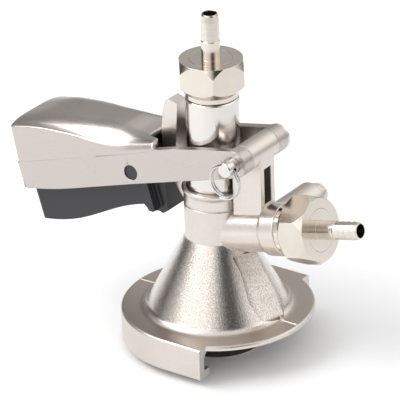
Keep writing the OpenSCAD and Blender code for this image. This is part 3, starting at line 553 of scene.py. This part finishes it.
def make_arms(material):
    """The lever's arms: a copy of the solid lever without its roof."""
    arms = NODES["lever"].copy()
    arms.data = NODES["lever"].data.copy()
    arms.name = arms.data.name = "lever_arms"
    bpy.context.scene.collection.objects.link(arms)
    cutter = make_cutter()
    cut = arms.modifiers.new("cut", "BOOLEAN")
    cut.operation = "DIFFERENCE"
    cut.object = cutter
    graph = bpy.context.evaluated_depsgraph_get()
    carved = bpy.data.meshes.new_from_object(arms.evaluated_get(graph))
    arms.modifiers.clear()
    arms.data = carved
    carved.materials.clear()
    carved.materials.append(material)
    shape = cutter.data
    bpy.data.objects.remove(cutter)
    bpy.data.meshes.remove(shape)
    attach(arms, "lever_group")
    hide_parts("lever")


# The stage
FLOOR_SIZE = 6
FLOOR_WHITE = (0.96, 0.96, 0.965, 1)
FLOOR_ROUGH, FLOOR_SHINE = 0.9, 0.2
WORLD_SOFT = (0.92, 0.92, 0.92, 1)     # the even light
WHITE = (1, 1, 1, 1)
# Brightness that polished metal sees round it, by the angle to the right of the camera in degrees
STUDIO_LOW = ((-180, 0.35), (-110, 0.1), (-88, 0.5), (-62, 1.35), (-36, 1.1), (-12, 0.72), (4, 0.3),
              (30, 0.28), (46, 0.9), (70, 1.0), (92, 0.45), (135, 0.35), (180, 0.35))
STUDIO_HIGH = ((-180, 0.55), (-150, 0.3), (-112, 0.12), (-88, 0.7), (-60, 1.6), (-20, 1.5), (-4, 0.9),
               (12, 0.06), (38, 0.04), (52, 0.9), (75, 1.6), (130, 1.3), (160, 0.8), (180, 0.55))
STUDIO_TINT = (1, 0.985, 0.965)
RISE_SPAN = (0.1, 0.5)                 # sines of the heights between the low and the high panels
ZENITH_SPAN = (0.7, 0.95)              # and between those and the white overhead
KEY_SIZE, KEY_POWER = 0.7, 6.0
KEY_LEFT, KEY_ABOVE, KEY_BACK = 0.75, 0.75, 0.1   # from the anchor, as the camera sees it


def make_floor():
    bpy.ops.mesh.primitive_plane_add(size=FLOOR_SIZE, location=(0, 0, CAD_BOX[0][2]))
    floor = bpy.context.object
    floor.name = "floor"
    material = bpy.data.materials.new("floor")
    material.use_nodes = True
    inputs = material.node_tree.nodes["Principled BSDF"].inputs
    inputs["Base Color"].default_value = FLOOR_WHITE
    inputs["Roughness"].default_value = FLOOR_ROUGH
    inputs["Specular IOR Level"].default_value = FLOOR_SHINE
    floor.data.materials.append(material)


def studio_ramp(graph, turn, stops):
    """The panels of one height as a ramp round the object."""
    node = graph.add("ShaderNodeValToRGB", {"Fac": turn})
    ramp = node.color_ramp
    ramp.interpolation = "EASE"
    while len(ramp.elements) > 1:
        ramp.elements.remove(ramp.elements[-1])
    for index, (angle, value) in enumerate(stops):
        position = (angle + 180) / 360
        step = ramp.elements.new(position) if index else ramp.elements[0]
        step.position = position
        step.color = tuple(value * tint for tint in STUDIO_TINT) + (1,)
    return node.outputs["Color"]


def make_world():
    """White to the camera, even light on matt surfaces, and panels of a studio in the metal."""
    world = bpy.data.worlds.new("world")
    bpy.context.scene.world = world
    world.use_nodes = True
    graph = Graph(world.node_tree, "Generated")

    def along(direction):
        return graph.vector("DOT_PRODUCT", graph.place, direction, "Value")

    az = CAMERA_AZIMUTH
    sideways = along((math.cos(az), math.sin(az), 0))
    forward = along((math.sin(az), -math.cos(az), 0))
    height = along((0, 0, 1))
    turn = graph.calc("ADD", graph.calc("DIVIDE", graph.calc("ARCTAN2", sideways, forward), 2 * math.pi), 0.5)
    low = studio_ramp(graph, turn, STUDIO_LOW)
    high = studio_ramp(graph, turn, STUDIO_HIGH)
    panels = graph.mix(graph.spread(height, RISE_SPAN), low, high)
    panels = graph.mix(graph.spread(height, ZENITH_SPAN), panels, WHITE)
    path = graph.add("ShaderNodeLightPath").outputs
    seen = graph.mix(path["Is Glossy Ray"], WORLD_SOFT, panels)
    colour = graph.mix(path["Is Camera Ray"], seen, WHITE)
    graph.feed(colour, graph.nodes["Background"].inputs["Color"])


def make_key():
    """A wide soft lamp at the upper left, which lays the shadow to the right of the foot."""
    right, _, back = camera_axes()
    data = bpy.data.lights.new("key", "AREA")
    data.shape = "SQUARE"
    data.size = KEY_SIZE
    data.energy = KEY_POWER
    lamp = bpy.data.objects.new("key", data)
    spot = ANCHOR - right * KEY_LEFT + Vector((0, 0, KEY_ABOVE)) + back * KEY_BACK
    aim = (spot - ANCHOR).to_track_quat("Z", "Y").to_matrix().to_4x4()
    lamp.matrix_world = Matrix.Translation(spot) @ aim
    bpy.context.scene.collection.objects.link(lamp)


make_camera()
MATERIALS = make_materials()
dress_nodes(MATERIALS)
make_keel(MATERIALS["satin_nickel"])
make_arms(MATERIALS["brushed_steel"])
make_hood(MATERIALS["hood_steel"])
make_floor()
make_world()
make_key()

scene = bpy.context.scene
scene.view_settings.view_transform = "Standard"
